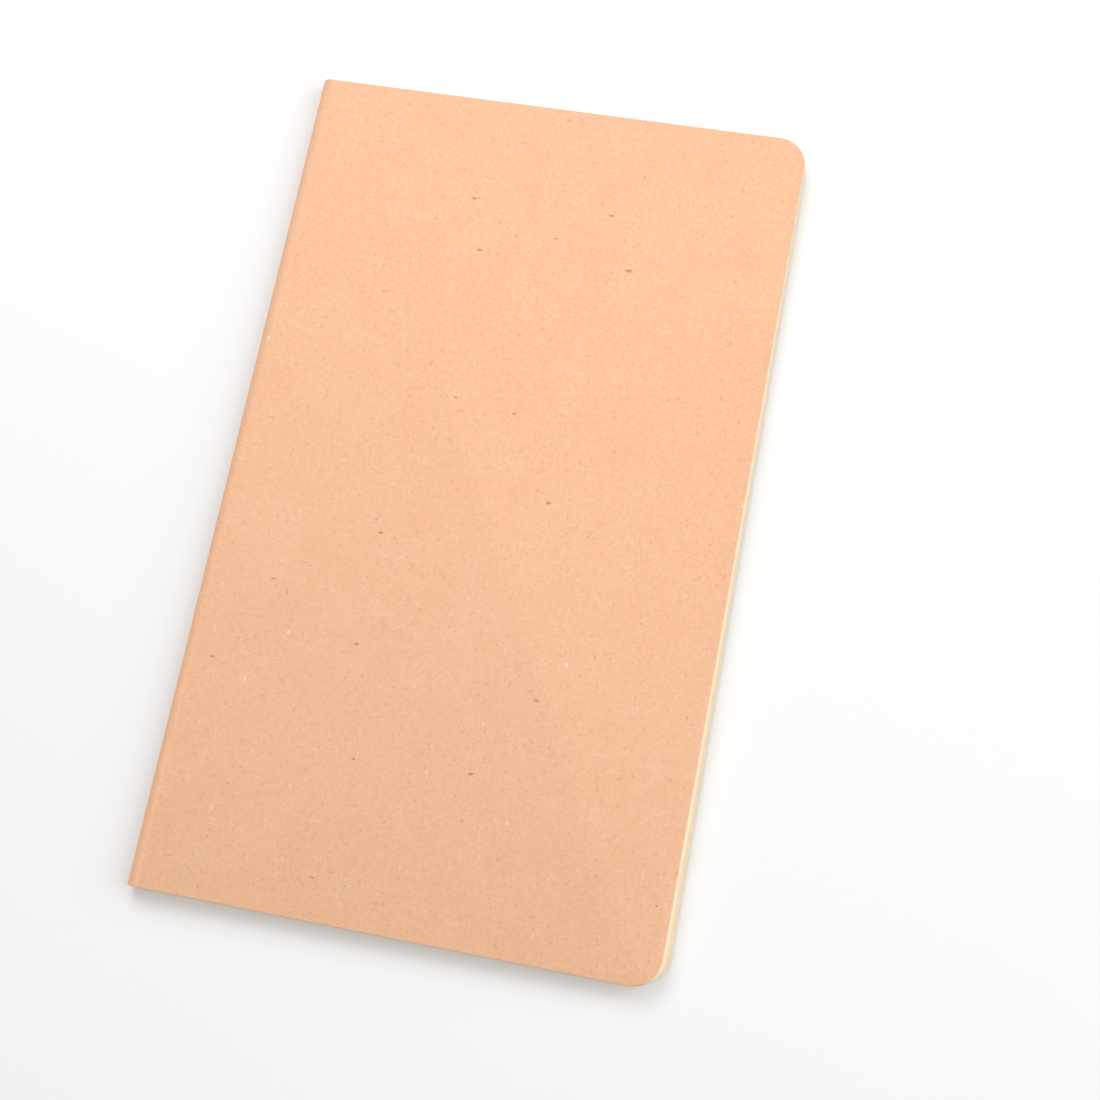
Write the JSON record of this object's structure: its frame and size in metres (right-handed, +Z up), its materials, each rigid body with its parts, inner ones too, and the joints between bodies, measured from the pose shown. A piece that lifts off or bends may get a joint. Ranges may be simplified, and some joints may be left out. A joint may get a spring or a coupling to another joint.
{
  "type": "thread-sewn kraft notebook",
  "caption": "Slim soft-cover notebook: folded paper sheets sewn through the fold into a round-cornered kraft card cover; covers and pages open.",
  "frame": {"origin": "bottom centre of the closed notebook's box, on the surface that the back cover lies on", "axes": "+X from the spine to the fore edge, +Y from the tail to the head of the page, +Z up out of the front cover"},
  "size_m": [0.1284, 0.21, 0.0052],
  "materials": {
    "kraft_card": "matte",
    "cream_paper": "matte",
    "cotton_thread": "matte"
  },
  "bodies": {
    "sewn_spine_and_outer_rear_leaves": {"cover_spine": "kraft_card", "page_folds": "cream_paper", "outer_thread": "cotton_thread", "inner_thread": "cotton_thread", "sheet_01_rear_leaf": "cream_paper", "sheet_02_rear_leaf": "cream_paper", "sheet_03_rear_leaf": "cream_paper", "sheet_04_rear_leaf": "cream_paper", "sheet_05_rear_leaf": "cream_paper"},
    "rear_leaves_2": {"sheet_06_rear_leaf": "cream_paper", "sheet_07_rear_leaf": "cream_paper", "sheet_08_rear_leaf": "cream_paper", "sheet_09_rear_leaf": "cream_paper", "sheet_10_rear_leaf": "cream_paper"},
    "rear_leaves_3": {"sheet_11_rear_leaf": "cream_paper", "sheet_12_rear_leaf": "cream_paper", "sheet_13_rear_leaf": "cream_paper", "sheet_14_rear_leaf": "cream_paper", "sheet_15_rear_leaf": "cream_paper"},
    "rear_leaves_4": {"sheet_16_rear_leaf": "cream_paper", "sheet_17_rear_leaf": "cream_paper", "sheet_18_rear_leaf": "cream_paper", "sheet_19_rear_leaf": "cream_paper", "sheet_20_rear_leaf": "cream_paper"},
    "front_leaves_1": {"sheet_01_front_leaf": "cream_paper", "sheet_02_front_leaf": "cream_paper", "sheet_03_front_leaf": "cream_paper", "sheet_04_front_leaf": "cream_paper", "sheet_05_front_leaf": "cream_paper"},
    "front_leaves_2": {"sheet_06_front_leaf": "cream_paper", "sheet_07_front_leaf": "cream_paper", "sheet_08_front_leaf": "cream_paper", "sheet_09_front_leaf": "cream_paper", "sheet_10_front_leaf": "cream_paper"},
    "front_leaves_3": {"sheet_11_front_leaf": "cream_paper", "sheet_12_front_leaf": "cream_paper", "sheet_13_front_leaf": "cream_paper", "sheet_14_front_leaf": "cream_paper", "sheet_15_front_leaf": "cream_paper"},
    "front_leaves_4": {"sheet_16_front_leaf": "cream_paper", "sheet_17_front_leaf": "cream_paper", "sheet_18_front_leaf": "cream_paper", "sheet_19_front_leaf": "cream_paper", "sheet_20_front_leaf": "cream_paper"},
    "front_cover": {"front_cover": "kraft_card"},
    "back_cover": {"back_cover": "kraft_card"}
  },
  "joints": [
    {"name": "pages_turn", "type": "hinge", "parent": "sewn_spine_and_outer_rear_leaves", "child": "front_leaves_1", "pos_m": [-0.06141, 0, 0.00262], "axis": [0, -1, 0], "range_deg": [0, 178], "deforming": ["page_folds", "cover_spine", "outer_thread", "inner_thread"]},
    {"name": "rear_leaves_2_spring_up", "type": "hinge", "parent": "sewn_spine_and_outer_rear_leaves", "child": "rear_leaves_2", "pos_m": [-0.06141, 0, 0.00262], "axis": [0, -1, 0], "range_deg": [0, 4.06]},
    {"name": "front_leaves_2_turn", "type": "hinge", "parent": "rear_leaves_2", "child": "front_leaves_2", "pos_m": [-0.06141, 0, 0.00262], "axis": [0, -1, 0], "range_deg": [0, 171.38]},
    {"name": "rear_leaves_3_spring_up", "type": "hinge", "parent": "sewn_spine_and_outer_rear_leaves", "child": "rear_leaves_3", "pos_m": [-0.06141, 0, 0.00262], "axis": [0, -1, 0], "range_deg": [0, 7.62]},
    {"name": "front_leaves_3_turn", "type": "hinge", "parent": "rear_leaves_3", "child": "front_leaves_3", "pos_m": [-0.06141, 0, 0.00262], "axis": [0, -1, 0], "range_deg": [0, 163.37]},
    {"name": "rear_leaves_4_spring_up", "type": "hinge", "parent": "sewn_spine_and_outer_rear_leaves", "child": "rear_leaves_4", "pos_m": [-0.06141, 0, 0.00262], "axis": [0, -1, 0], "range_deg": [0, 12.07]},
    {"name": "front_leaves_4_turn", "type": "hinge", "parent": "rear_leaves_4", "child": "front_leaves_4", "pos_m": [-0.06141, 0, 0.00262], "axis": [0, -1, 0], "range_deg": [0, 153.58]},
    {"name": "front_cover_hinge", "type": "hinge", "parent": "front_leaves_1", "child": "front_cover", "pos_m": [-0.06141, 0, 0.00524], "axis": [0, 1, 0], "range_deg": [-178, 0]},
    {"name": "back_cover_hinge", "type": "hinge", "parent": "sewn_spine_and_outer_rear_leaves", "child": "back_cover", "pos_m": [-0.06141, 0, 0], "axis": [0, 1, 0], "range_deg": [0, 178]}
  ],
  "couplings": [
    {"joint": "rear_leaves_2_spring_up", "follows": "pages_turn", "ratio": 0.02},
    {"joint": "front_leaves_2_turn", "follows": "pages_turn", "ratio": 0.96},
    {"joint": "rear_leaves_3_spring_up", "follows": "pages_turn", "ratio": 0.04},
    {"joint": "front_leaves_3_turn", "follows": "pages_turn", "ratio": 0.915},
    {"joint": "rear_leaves_4_spring_up", "follows": "pages_turn", "ratio": 0.065},
    {"joint": "front_leaves_4_turn", "follows": "pages_turn", "ratio": 0.86}
  ]
}
